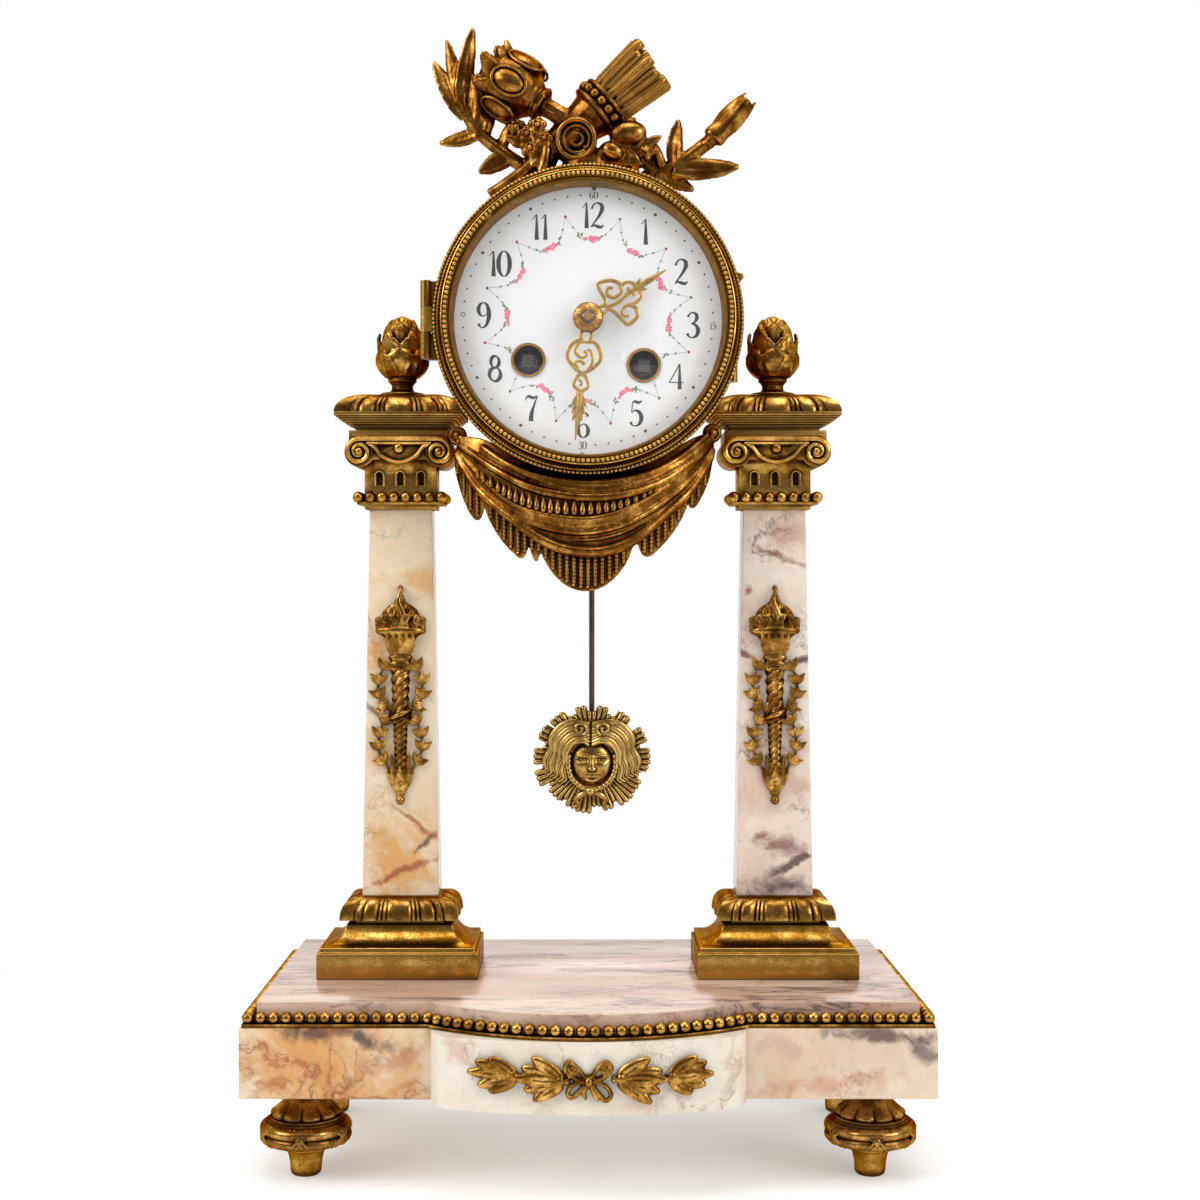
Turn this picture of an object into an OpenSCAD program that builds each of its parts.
// Portico clock: two marble columns on a bowed base carry a drum clock with a drapery below and a
// trophy above, and a sunburst pendulum swings between them.
// Millimetres. X to the right, Y away from the viewer, Z up, floor at Z = 0.

/* [Base] */
// Width of the marble block
base_w = 224; // [204:1:244]
// Depth of the marble block behind its bow
base_d = 112; // [104:1:124]
// Height of the marble block
base_h = 22.5; // [18:0.5:28]
// Width of the bow in the middle of the front
bow_w = 101; // [90:1:112]
// How far the bow stands forward of the block
bow_rise = 18; // [16:0.5:22]
// Radius that rounds the two ends of the bow
bow_end_r = 13; // [10:0.5:14]
// Step from the block's edge in to the top slab
slab_inset = 5; // [4.6:0.1:6]
// Height of the top slab
slab_h = 7.5; // [6:0.5:10]
// Diameter of the gilt beads round the slab
bead_d = 3.9; // [3.2:0.1:4.1]
// Height of the strip that carries the beads
bead_strip_h = 1.2; // [0.8:0.1:1.6]
// Width of the ribbon and leaf mount on the bow
ribbon_w = 78; // [60:1:84]
// How far that mount stands out from the bow
ribbon_proud = 3.5; // [2.5:0.1:4.5]

/* [Feet] */
// Height of a foot
foot_h = 30.5; // [24:0.5:36]
// Diameter of a foot at its reeded ring
foot_d = 30.4; // [24:0.2:34]
// Foot axis inward from the end of the block
foot_in_x = 18.5; // [17:0.5:26]
// Front foot axis behind the front of the block
foot_in_front = 22; // [17:0.5:30]
// Rear foot axis ahead of the back of the block
foot_in_back = 16.5; // [16:0.5:30]
// Diameter of the stud that holds a foot in the block
foot_stud_d = 6; // [5:0.2:8]
// Length of that stud
foot_stud_len = 9; // [6:0.5:14]

/* [Columns] */
// Distance between the two column axes
column_gap = 130; // [124:1:140]
// Front of the plinths behind the front of the slab
plinth_setback = 33; // [28:0.5:38]
// Width of a plinth
plinth_w = 55; // [50:0.5:60]
// Depth of a plinth
plinth_d = 41; // [37:0.5:46]
// Height of a plinth
plinth_h = 17.3; // [15:0.1:20]
// Width of the gadrooned cushion under a shaft
cushion_w = 40.9; // [38:0.1:46]
// Depth of that cushion
cushion_d = 28; // [25:0.5:32]
// Height of that cushion with its neck
cushion_h = 9.2; // [8:0.1:12]
// Width of a marble shaft at its foot
shaft_w = 26.5; // [24:0.5:30]
// Width of a marble shaft at its head
shaft_top_w = 21.7; // [19:0.1:24]
// Depth of a marble shaft at its foot
shaft_d = 15; // [13:0.5:18]
// Height of a marble shaft
shaft_h = 134.3; // [120:0.5:150]
// Height of the torch mount on a shaft
torch_h = 76; // [66:1:84]
// Width of a capital over its volutes
capital_w = 37.7; // [35:0.1:40]
// Depth of a capital
capital_d = 25; // [22:0.5:28]
// Height of a capital
capital_h = 27; // [25:0.5:30]
// Width of the gadrooned cap
cap_w = 44.3; // [42:0.1:46]
// Depth of the gadrooned cap
cap_d = 32; // [29:0.5:35]
// Height of the gadrooned cap with its cornice
cap_h = 12.9; // [11:0.1:15]
// Height of a finial
finial_h = 28.6; // [24:0.2:34]
// Widest diameter of a finial
finial_d = 20.6; // [17:0.2:24]
// Diameter of the tie rod through a column
tie_d = 5; // [4:0.2:6]

/* [Drum] */
// Diameter of the drum case
drum_d = 100; // [97:0.5:104]
// Depth of the drum case
drum_depth = 69.5; // [66:0.5:76]
// Wall of the drum case
drum_wall = 1.8; // [1.4:0.1:2.4]
// Dial face ahead of the column axes
dial_forward = 33.5; // [30:0.5:37]
// How far the bezel stands over the drum, all round
bezel_over = 1.9; // [1.4:0.1:2.4]
// Diameter of the sight opening in the bezel
sight_d = 91; // [86:0.5:92]
// Depth of the bezel
bezel_depth = 9.5; // [9:0.1:11]
// Back of the glass ahead of the bezel's back
glass_set = 5.6; // [5.2:0.1:6]
// Rise of the domed glass
glass_rise = 6.5; // [5.8:0.1:8]
// Thickness of the glass
glass_t = 1.5; // [1:0.1:1.6]
// Length of the three hinge knuckles together
hinge_len = 26; // [20:0.5:32]
// Diameter of a hinge knuckle
knuckle_d = 3.6; // [3.2:0.1:4.4]
// Diameter of a hinge pin
hinge_pin_d = 1.6; // [1.2:0.1:1.8]
// Drop of the drapery below the dial centre
drapery_drop = 91; // [84:0.5:96]
// Height of the trophy above the drum
crest_h = 58.4; // [48:0.2:60]

/* [Dial and hands] */
// Turn of the dial and movement in the drum, clockwise in degrees
movement_turn = 2.6; // [0:0.1:5]
// Winding arbor to the side of the dial centre
winding_x = 19.2; // [18.6:0.1:19.8]
// Winding arbor below the dial centre
winding_drop = 14.2; // [13.6:0.1:14.8]
// Bore of a winding bush
winding_bore_d = 9.7; // [8:0.1:10]
// Square of a winding arbor, across its flats
winding_square = 4; // [3:0.1:4.4]
// Length of the hour hand
hour_len = 30.5; // [27:0.5:33]
// Length of the minute hand
minute_len = 40.7; // [37:0.1:42]
// Where the hour hand points, clockwise from the top
hour_angle = 57.9; // [0:0.1:360]
// Where the minute hand points, clockwise from the top
minute_angle = 186; // [0:0.1:360]
// Thickness of a hand
hand_t = 0.8; // [0.6:0.1:1]

/* [Movement] */
// Diameter of the movement plates
plate_d = 80; // [78:0.5:84]
// Thickness of a movement plate
plate_t = 2.2; // [1.8:0.1:2.6]
// Space between the plates
plate_gap = 29; // [28.5:0.1:30]
// Tooth module of the barrels
barrel_mod = 0.48; // [0.475:0.001:0.485]
// Tooth module of the intermediate and pin wheels
second_mod = 0.38; // [0.376:0.001:0.384]
// Tooth module of the centre wheel
centre_mod = 0.31; // [0.305:0.001:0.313]
// Tooth module of the third wheel
third_mod = 0.25; // [0.246:0.001:0.252]
// Radius of the escape wheel at its tips
escape_r = 8.5; // [8:0.1:8.8]
// Pallet arbor above the escape arbor
pallet_rise = 11.5; // [11.2:0.1:12]
// Diameter of the bell
bell_d = 54; // [48:0.5:56]

/* [Pendulum] */
// Pivot to the middle of the bob
pendulum_len = 185; // [176:0.5:190]
// Diameter of the pendulum rod
rod_d = 2; // [1.6:0.1:2.4]
// Span of the sunburst bob over its rays
bob_d = 43; // [38:0.5:48]

/* [Fits] */
// Clearance of a turning fit, on the radius
run_fit = 0.08; // [0.03:0.01:0.1]
// Clearance of a fixed stud or rod in its hole, on the radius
stud_fit = 0.15; // [0.05:0.01:0.3]
// Space between parts that move past each other
pass_gap = 0.3; // [0.2:0.05:0.5]
// End play of an arbor between the plates, at each end
end_play = 0.1; // [0.05:0.01:0.2]
// Space that lets cast ornaments lie on a curved seat
seat_gap = 0.02; // [0.01:0.01:0.05]

/* [Hidden] */
$fn = 72;
eps = 0.01;

// Base levels and planes
y_back = (base_d + bow_rise + ribbon_proud) / 2;
y_face = y_back - base_d;
y_slab = y_face + slab_inset;
z_base = foot_h;
z_base_top = z_base + base_h;
z_slab_top = z_base_top + slab_h;
bow_a = bow_w / 2;
bow_r = (bow_a * bow_a + bow_rise * bow_rise - 2 * bow_a * bow_end_r) / (2 * (bow_rise - bow_end_r));
bow_cy = y_face - bow_rise + bow_r;
slab_bow_r = (bow_a * bow_a + bow_rise * bow_rise) / (2 * bow_rise);
slab_bow_cy = y_slab - bow_rise + slab_bow_r;
slab_back_inset = 0.5;

// Column levels
column_x = column_gap / 2;
column_y = y_slab + plinth_setback + plinth_d / 2;
z_cushion = z_slab_top + plinth_h;
z_shaft = z_cushion + cushion_h;
z_capital = z_shaft + shaft_h;
z_cap = z_capital + capital_h;
z_cap_top = z_cap + cap_h;
shaft_top_d = shaft_d * shaft_top_w / shaft_w;
cornice_h = cap_h / 2;
cap_round = (cap_h - cornice_h) * 0.8;
tie_r = tie_d / 2;
tie_bore_r = tie_r + stud_fit;
nut_h = 4;
nut_r = tie_r * 2.1;
nut_well_r = nut_r + 2;
nut_well_h = nut_h + 3;
finial_neck_h = finial_h * 0.165;

// Drum seat: the drum lies between the rounded inner edges of the two caps
drum_r = drum_d / 2;
cap_inner_x = column_x - cap_w / 2;
z_dial = z_cap_top - cap_round
    + sqrt(pow(drum_r + cap_round + seat_gap, 2) - pow(cap_inner_x + cap_round, 2));
dial_y = column_y - dial_forward;
drum_inner_r = drum_r - drum_wall;
drum_y0 = -0.2;
drum_y1 = drum_y0 + drum_depth;
bezel_r = drum_r + bezel_over;
bezel_y1 = drum_y0 - 0.2;
bezel_y0 = bezel_y1 - bezel_depth;
sight_r = sight_d / 2;
glass_edge_r = sight_r + 0.9;
glass_edge_t = 1.5;
glass_y = bezel_y1 - glass_set;
glass_bore_r = glass_edge_r + 0.1;
sight_ring_r = sight_r - 1.4;
glass_chord_r = sight_r - 0.5;
glass_r = (glass_chord_r * glass_chord_r + glass_rise * glass_rise) / (2 * glass_rise);
knuckle_r = knuckle_d / 2;
hinge_x = bezel_r + knuckle_r + pass_gap;
hinge_y = bezel_y1 - 0.6;
door_t = 1.6;
door_y0 = drum_y1 + 0.2;
back_hinge_y = door_y0 + 0.4;
knuckle_len = hinge_len / 3;

// Depths in the movement, from the dial face
dial_t = 1.6;
pan_t = 1;
dial_r = sight_r + 1.2;
pan_r = drum_inner_r - 0.1;
pan_y = dial_t;
lip_y = pan_y + pan_t;
lip_t = 1.5;
front_y = 9;
gap_y = front_y + plate_t;
back_y = gap_y + plate_gap;
rear_y = back_y + plate_t;
pendulum_y = rear_y + 6.2;
plate_r = plate_d / 2;
bush_wall = 0.9;
bush_r = winding_bore_d / 2 + bush_wall;

// Wheel layers behind the front plate
barrel_y = gap_y + 2;
barrel_len = 14;
great_y = barrel_y + barrel_len - 2.5;
great_t = 2.5;
second_y = gap_y + 18;
centre_wheel_y = gap_y + 21.6;
third_wheel_y = gap_y + 25.2;
escape_y = gap_y + 20;
wheel_t = 1.3;
motion_y = gap_y - 5.4;
hour_wheel_y = motion_y - 2.4;
hour_hand_y = -3.6;
minute_hand_y = hour_hand_y - hand_t - 2;
arbor_front_y = minute_hand_y - 3.2;

// Tooth counts: barrel to intermediate to centre, centre to third to escape, and the motion work
barrel_n = 72;
second_pinion_n = 12;
second_n = 70;
centre_pinion_n = 10;
centre_n = 80;
third_pinion_n = 8;
third_n = 80;
escape_pinion_n = 8;
escape_n = 42;
pin_wheel_n = 60;
fly_pinion_n = 8;
cannon_n = 12;
minute_n = 36;
minute_pinion_n = 10;
hour_n = 40;
cannon_mod = 0.5;
hour_mod = cannon_mod * (cannon_n + minute_n) / (minute_pinion_n + hour_n);
wheel_tooth = 0.42;
pinion_tooth = 0.38;
tooth_add = 0.72;
tooth_ded = 1.1;

function mesh_gap(mod, n1, n2) = mod * (n1 + n2) / 2;
function circle_hit(p, rp, q, rq, side) =
    let (d = norm(q - p), u = (q - p) / d, a = (rp * rp - rq * rq + d * d) / (2 * d))
    p + a * u + side * sqrt(rp * rp - a * a) * [-u[1], u[0]];
function polar(r, a) = [r * cos(a), r * sin(a)];
function bearing(p, q) = atan2(q[1] - p[1], q[0] - p[0]);

// Arbor places in the movement, x to the right and z up from the dial centre
at_centre = [0, 0];
at_going = [winding_x, -winding_drop];
at_strike = [-winding_x, -winding_drop];
second_c = mesh_gap(second_mod, second_n, centre_pinion_n);
at_second = circle_hit(at_going, mesh_gap(barrel_mod, barrel_n, second_pinion_n), at_centre, second_c, -1);
at_pin = [-at_second[0], at_second[1]];
at_third = polar(mesh_gap(centre_mod, centre_n, third_pinion_n), 107);
escape_c = mesh_gap(third_mod, third_n, escape_pinion_n);
at_escape = [0, at_third[1] + sqrt(pow(escape_c, 2) - pow(at_third[0], 2))];
at_pallet = at_escape + [0, pallet_rise];
at_fly = at_pin + polar(mesh_gap(second_mod, pin_wheel_n, fly_pinion_n), 114);
at_minute = polar(mesh_gap(cannon_mod, cannon_n, minute_n), 30);
pillar_places = [[0, -36], [35.5, 8], [-35.5, 8], [20, 31], [-20, 31]];
pillar_r = 2.6;
arbor_r = 0.8;
pivot_r = 0.6;
centre_arbor_r = 1.2;
cannon_r = 2;
hour_pipe_r = 2.9;
barrel_arbor_r = 2.5;
pan_foot_places = [[0, 33], [-29.5, -25], [29.5, -25]];

// The pendulum hangs plumb from the pallet arbor's place in the turned movement
pivot_x = at_pallet[1] * sin(movement_turn);
pivot_z = z_dial + at_pallet[1] * cos(movement_turn);
rod_r = rod_d / 2;
bell_r = bell_d / 2;
at_bell = [0, -3];
bell_wall = 1.5;
bell_y0 = pendulum_y + rod_r + 2;
bell_y1 = drum_y1 - 2.6;
at_bell_post = [bell_r + 5, -9];
hammer_head_r = 2.4;
at_hammer = [-bell_r - 2.2, 14];

GILT = [0.72, 0.53, 0.22];
DARK_GILT = [0.55, 0.38, 0.15];
MARBLE = [0.9, 0.83, 0.75];
BRASS = [0.8, 0.66, 0.33];
STEEL = [0.55, 0.56, 0.58];
ENAMEL = [0.95, 0.95, 0.93];

// Helpers for place and form

module at_column(side) {
    translate([side * column_x, column_y, 0]) children();
}

module at_dial(turn = movement_turn) {
    translate([0, dial_y, z_dial]) rotate([0, turn, 0]) children();
}

module plate(y0, t) {
    translate([0, y0 + t, 0]) rotate([90, 0, 0]) linear_extrude(t) children();
}

module rod(p, y0, y1, r) {
    translate([p[0], y0, p[1]]) rotate([-90, 0, 0]) cylinder(r = r, h = y1 - y0);
}

module turned() {
    rotate([-90, 0, 0]) rotate_extrude() children();
}

module ring(r, wall) {
    difference() {
        circle(r);
        circle(r - wall);
    }
}

function unit(v) = v / norm(v);
function tangent(path, i) =
    unit(path[min(i + 1, len(path) - 1)] - path[max(i - 1, 0)]);

// A tapering strand along a path, its section flattened in depth
module strand(path, radii, flat = 1, sides = 6) {
    n = len(path);
    points = [
        for (i = [0 : n - 1])
            let (t = tangent(path, i), across = unit(cross(t, [0, 1, 0])), deep = cross(across, t))
                for (k = [0 : sides - 1])
                    path[i] + radii[i] * (cos(360 * k / sides) * across + flat * sin(360 * k / sides) * deep)
    ];
    walls = [
        for (i = [0 : n - 2], k = [0 : sides - 1])
            let (a = i * sides + k, b = i * sides + (k + 1) % sides)
                [a, b, b + sides, a + sides]
    ];
    start = [for (k = [sides - 1 : -1 : 0]) k];
    end = [for (k = [0 : sides - 1]) (n - 1) * sides + k];
    polyhedron(points, concat([start], walls, [end]), convexity = 4);
}

// A cast leaf from p, pointing at an angle in the X Z plane
module leaf(p, angle, length, width, thick, n = 4) {
    translate(p) rotate([0, -angle, 0]) hull() {
        sphere(width * 0.16, $fn = 3);
        translate([length * 0.45, 0, 0])
            scale([width * 0.5, thick * 0.6, width * (n > 4 ? 0.56 : 0.7)])
                sphere(1, $fn = n);
        translate([length - width * 0.05, 0, 0]) sphere(width * 0.05, $fn = 3);
    }
}

module ball(p, r, n = 6) {
    translate(p) sphere(r, $fn = n);
}

// Cuts a cast ornament to lie on a round seat without biting into it
module seat_cutter(r, h, sides) {
    cylinder(r = r / cos(180 / sides) + seat_gap, h = h, $fn = sides);
}

// Two crossed extrusions give a moulding with mitred corners
module mitred(w, d) {
    intersection() {
        rotate([90, 0, 0]) linear_extrude(d + 2, center = true) children(0);
        rotate([90, 0, 90]) linear_extrude(w + 2, center = true) children(1);
    }
}

module gear(n, mod, tooth, phase) {
    tip = tooth * 0.48;
    foot = 2 * tooth - tip;
    pitch = 360 / n;
    r_tip = mod * (n / 2 + tooth_add);
    r_foot = mod * (n / 2 - tooth_ded);
    polygon([
        for (i = [0 : n - 1], c = [[r_foot, -foot], [r_tip, -tip], [r_tip, tip], [r_foot, foot]])
            polar(c[0], phase + (i + c[1] / 2) * pitch)
    ]);
}

module wheel(n, mod, y, phase, t = wheel_t) {
    plate(y, t) gear(n, mod, wheel_tooth, phase);
}

module pinion(n, mod, y, len, phase) {
    plate(y, len) gear(n, mod, pinion_tooth, phase + 180 + 180 / n);
}

module arbor(r = arbor_r) {
    rod([0, 0], gap_y + end_play, back_y - end_play, r);
    rod([0, 0], gap_y - plate_t * 0.8, back_y + plate_t * 0.8, min(r, pivot_r));
}

module spot(p) {
    translate([p[0], 0, p[1]]) children();
}

// Base

module bow_plan() {
    reach = [bow_a - bow_end_r, y_face - bow_cy];
    translate([-base_w / 2, y_face]) square([base_w, base_d]);
    for (side = [-1, 1])
        translate([side * (bow_a - bow_end_r), y_face]) circle(bow_end_r);
    intersection() {
        translate([0, bow_cy]) circle(bow_r, $fn = 180);
        translate([0, bow_cy])
            polygon([reach, 2 * reach, [-2 * reach[0], 2 * reach[1]], [-reach[0], reach[1]]]);
    }
}

module slab_plan(grow = 0) {
    half = base_w / 2 - slab_inset + grow;
    translate([-half, y_slab - grow])
        square([2 * half, y_back - slab_back_inset - y_slab + grow]);
    intersection() {
        translate([0, slab_bow_cy]) circle(slab_bow_r + grow, $fn = 180);
        translate([-bow_w, y_slab - bow_w]) square([2 * bow_w, bow_w + 1]);
    }
}

module foot_places() {
    for (sx = [-1, 1], y = [y_face + foot_in_front, y_back - foot_in_back])
        translate([sx * (base_w / 2 - foot_in_x), y, 0]) children();
}

module base_block() {
    color(MARBLE) difference() {
        translate([0, 0, z_base]) linear_extrude(base_h) bow_plan();
        foot_places() translate([0, 0, z_base - 1])
            cylinder(d = foot_stud_d + 2 * stud_fit, h = foot_stud_len + 2);
        for (side = [-1, 1])
            at_column(side) {
                translate([0, 0, z_base - 1]) cylinder(r = nut_well_r, h = nut_well_h + 1);
                translate([0, 0, z_base]) cylinder(r = tie_bore_r, h = base_h + 1);
            }
    }
}

module base_top() {
    color(MARBLE) difference() {
        translate([0, 0, z_base_top]) linear_extrude(slab_h) slab_plan();
        for (side = [-1, 1])
            at_column(side) translate([0, 0, z_base_top - 1])
                cylinder(r = tie_bore_r, h = slab_h + 2);
    }
}

// The line of the beads: straight along a side and the front, then round the bow
bead_out = slab_inset / 2;
bead_x = base_w / 2 - bead_out;
bead_y = y_slab - bead_out;
bead_arc_r = slab_bow_r + bead_out;
bead_kink_x = sqrt(pow(bead_arc_r, 2) - pow(slab_bow_cy - bead_y, 2));
bead_arc_half = asin(bead_kink_x / bead_arc_r);
bead_y_end = y_back - slab_back_inset - bead_d;
bead_side_len = bead_y_end - bead_y;
bead_flat_len = bead_x - bead_kink_x;
bead_arc_len = bead_arc_half * PI / 180 * bead_arc_r;
bead_half_len = bead_arc_len + bead_flat_len + bead_side_len;
bead_count = floor(bead_half_len / (bead_d * 1.05));
function bead_at(s) =
    s < bead_arc_len ? [bead_arc_r * sin(s / bead_arc_len * bead_arc_half),
                        slab_bow_cy - bead_arc_r * cos(s / bead_arc_len * bead_arc_half)]
    : s < bead_arc_len + bead_flat_len ? [bead_kink_x + s - bead_arc_len, bead_y]
    : [bead_x, bead_y + s - bead_arc_len - bead_flat_len];

module base_beading() {
    z = z_base_top + bead_strip_h;
    color(DARK_GILT) {
        translate([0, 0, z_base_top]) linear_extrude(bead_strip_h) difference() {
            slab_plan(slab_inset - 0.8);
            slab_plan();
        }
        for (k = [0 : bead_count - 1], side = [-1, 1])
            let (p = bead_at((k + 0.5) * bead_half_len / bead_count))
                translate([side * p[0], p[1], z + bead_d * 0.45])
                    sphere(d = bead_d, $fn = 24);
    }
}

module foot(sx, y) {
    r = foot_d / 2;
    color(DARK_GILT) translate([sx * (base_w / 2 - foot_in_x), y, 0]) difference() {
        union() {
            rotate_extrude() {
                polygon([
                    [0, 0], [r * 0.31, 0], [r * 0.34, foot_h * 0.03], [r * 0.36, foot_h * 0.16],
                    [r * 0.42, foot_h * 0.28], [r * 0.52, foot_h * 0.31], [r * 0.55, foot_h * 0.345],
                    [r * 0.84, foot_h * 0.37], [r * 0.9, foot_h * 0.4], [r * 0.9, foot_h * 0.56],
                    [r * 0.83, foot_h * 0.6], [r * 0.79, foot_h * 0.645], [r * 0.71, foot_h * 0.66],
                    [r * 0.6, foot_h * 0.72], [r * 0.48, foot_h * 0.83], [r * 0.43, foot_h * 0.89],
                    [r * 0.49, foot_h * 0.91], [r * 0.49, foot_h], [0, foot_h]
                ]);
                translate([r - foot_h * 0.075, foot_h * 0.43])
                    circle(foot_h * 0.07, $fn = 32);
                translate([r - foot_h * 0.075, foot_h * 0.52])
                    circle(foot_h * 0.075, $fn = 32);
            }
            translate([0, 0, foot_h - 1]) cylinder(d = foot_stud_d, h = foot_stud_len + 1);
        }
        for (k = [0 : 9])
            rotate([0, 0, 36 * k]) translate([r * 0.5, 0, foot_h * 0.86]) rotate([0, 32, 0])
                translate([r * 0.06, 0, -foot_h * 0.3])
                    cylinder(r = r * 0.07, h = foot_h * 0.3, $fn = 16);
    }
}

module foot_front_left() { foot(-1, y_face + foot_in_front); }
module foot_front_right() { foot(1, y_face + foot_in_front); }
module foot_rear_left() { foot(-1, y_back - foot_in_back); }
module foot_rear_right() { foot(1, y_back - foot_in_back); }

// Places an ornament upright on the bow, round from its middle by an arc length
module on_bow(s, z) {
    translate([0, bow_cy, z]) rotate([0, 0, s / bow_r * 180 / PI]) translate([0, -bow_r, 0])
        children();
}

module leaf_spray(side, length) {
    for (k = [-2 : 2])
        leaf([0, -0.6, 0], (side > 0 ? 0 : 180) + side * k * 21, length * (1 - 0.12 * abs(k)),
             length * 0.23, 2.8 - 0.3 * abs(k));
    ball([0, -1, 0], length * 0.1, 4);
}

module base_ribbon_mount() {
    z = z_base + base_h * 0.48;
    half = ribbon_w / 2;
    color(GILT) difference() {
        union() {
            for (side = [-1, 1]) {
                on_bow(side * half * 0.26, z) leaf_spray(side, half * 0.4);
                on_bow(side * half * 0.69, z) leaf_spray(side, half * 0.3);
                on_bow(0, z) {
                    strand([[side * 0.5, -1.2, 0], [side * 3, -1.6, 2.6], [side * 6.4, -1.4, 3.6],
                            [side * 7.8, -1.4, 1.6], [side * 5, -1.4, 0], [side * 0.5, -1.2, 0]],
                           [0.8, 1, 1.1, 1.1, 1, 0.8], 1, 4);
                    strand([[side * 0.5, -1, -0.5], [side * 3, -1, -3.2], [side * 6, -1, -3.4], [side * 8.6, -1, -5.4]],
                           [0.9, 1, 1, 0.7], 1, 4);
                }
                for (s = [0.1, 0.17, 0.24, 0.62, 0.67])
                    on_bow(side * half * s, z) ball([0, -0.8, 0], 2.2, 4);
            }
            on_bow(0, z) {
                ball([0, 2.1 - ribbon_proud, 0], 2.4);
                for (k = [0 : 4])
                    ball([2.2 * cos(72 * k), -2, 2.2 * sin(72 * k)], 1.2, 4);
            }
        }
        translate([0, bow_cy, z_base]) seat_cutter(bow_r, base_h, 120);
    }
}

module tie_rods() {
    z0 = z_base + nut_well_h - nut_h;
    color(STEEL) for (side = [-1, 1]) at_column(side) {
        translate([0, 0, z0 - 1])
            cylinder(r = tie_r, h = z_cap_top + finial_neck_h + finial_h * 0.2 - z0 + 1);
        translate([0, 0, z0]) difference() {
            cylinder(r = nut_r, h = nut_h, $fn = 6);
            translate([0, 0, -1]) cylinder(r = tie_r, h = nut_h + 2);
        }
    }
}

// Columns

module tie_bore(z, h) {
    translate([0, 0, z - 1]) cylinder(r = tie_bore_r, h = h + 2);
}

module plinth_profile(w) {
    drop = cushion_w - plinth_w;
    low = plinth_h * 0.52;
    fillet = plinth_h * 0.62;
    top_w = w + drop - 4.5;
    run = (w - 3 - top_w) / 2;
    translate([-w / 2, 0]) square([w, low]);
    translate([-w / 2 + 1, 0]) square([w - 2, fillet]);
    difference() {
        translate([-w / 2 + 1.5, 0]) square([w - 3, plinth_h]);
        for (side = [-1, 1])
            translate([side * (w / 2 - 1.5), plinth_h + run - (plinth_h - fillet)])
                circle(run);
    }
}

module plinth(side) {
    color(GILT) at_column(side) difference() {
        translate([0, 0, z_slab_top]) mitred(plinth_w, plinth_d) {
            plinth_profile(plinth_w);
            plinth_profile(plinth_d);
        }
        tie_bore(z_slab_top, plinth_h);
    }
}

module plinth_left() { plinth(-1); }
module plinth_right() { plinth(1); }

module cushion_profile(w, h, r) {
    translate([-w / 2, 0]) square([w, h - r]);
    translate([-w / 2 + r, 0]) square([w - 2 * r, h]);
    for (side = [-1, 1])
        translate([side * (w / 2 - r), h - r]) circle(r);
}

// A domed cushion whose grooves leave broad lobes between double ribs
module gadrooned(w, d, h, r) {
    groove = 0.45;
    rib = 0.75;
    difference() {
        intersection() {
            mitred(w, d) {
                cushion_profile(w, h, r);
                cushion_profile(d, h, r);
            }
            translate([-w, -w, 0]) cube([2 * w, 2 * w, h]);
        }
        for (face = [-1, 1], k = [-1.5, -0.5, 0.5, 1.5], e = [-1, 1])
            translate([k * w * 0.21 + e * rib, face * (d / 2 - r), h - r])
                rotate([0, 90, face * k * 7]) rotate_extrude() translate([r, 0])
                    circle(groove, $fn = 16);
        for (face = [-1, 1], k = [-0.5, 0.5], e = [-1, 1])
            translate([face * (w / 2 - r), k * d * 0.34 + e * rib, h - r])
                rotate([90, 0, 0]) rotate_extrude() translate([r, 0])
                    circle(groove, $fn = 16);
    }
}

module cushion(side) {
    neck = cushion_h * 0.32;
    body = cushion_h - neck;
    inset = 4.6;
    color(GILT) at_column(side) difference() {
        union() {
            translate([-cushion_w / 2 + inset, -cushion_d / 2 + inset, z_cushion])
                cube([cushion_w - 2 * inset, cushion_d - 2 * inset, neck + 1]);
            translate([0, 0, z_cushion + neck])
                gadrooned(cushion_w, cushion_d, body, body * 0.7);
        }
        tie_bore(z_cushion, cushion_h);
    }
}

module cushion_left() { cushion(-1); }
module cushion_right() { cushion(1); }

module taper(w0, w1, h) {
    polygon([[-w0 / 2, 0], [w0 / 2, 0], [w1 / 2, h], [-w1 / 2, h]]);
}

module shaft(side) {
    color(MARBLE) at_column(side) difference() {
        translate([0, 0, z_shaft]) mitred(shaft_w, shaft_w) {
            taper(shaft_w, shaft_top_w, shaft_h);
            taper(shaft_d, shaft_top_d, shaft_h);
        }
        tie_bore(z_shaft, shaft_h);
    }
}

module shaft_left() { shaft(-1); }
module shaft_right() { shaft(1); }

// The laurel stems cross behind the torch and open into two loops
function laurel_x(t) = (t < 0.5 ? 6.2 : 5.4) * sin(360 * t);
function laurel_z(t) = torch_h * (0.12 + 0.6 * t);

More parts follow.
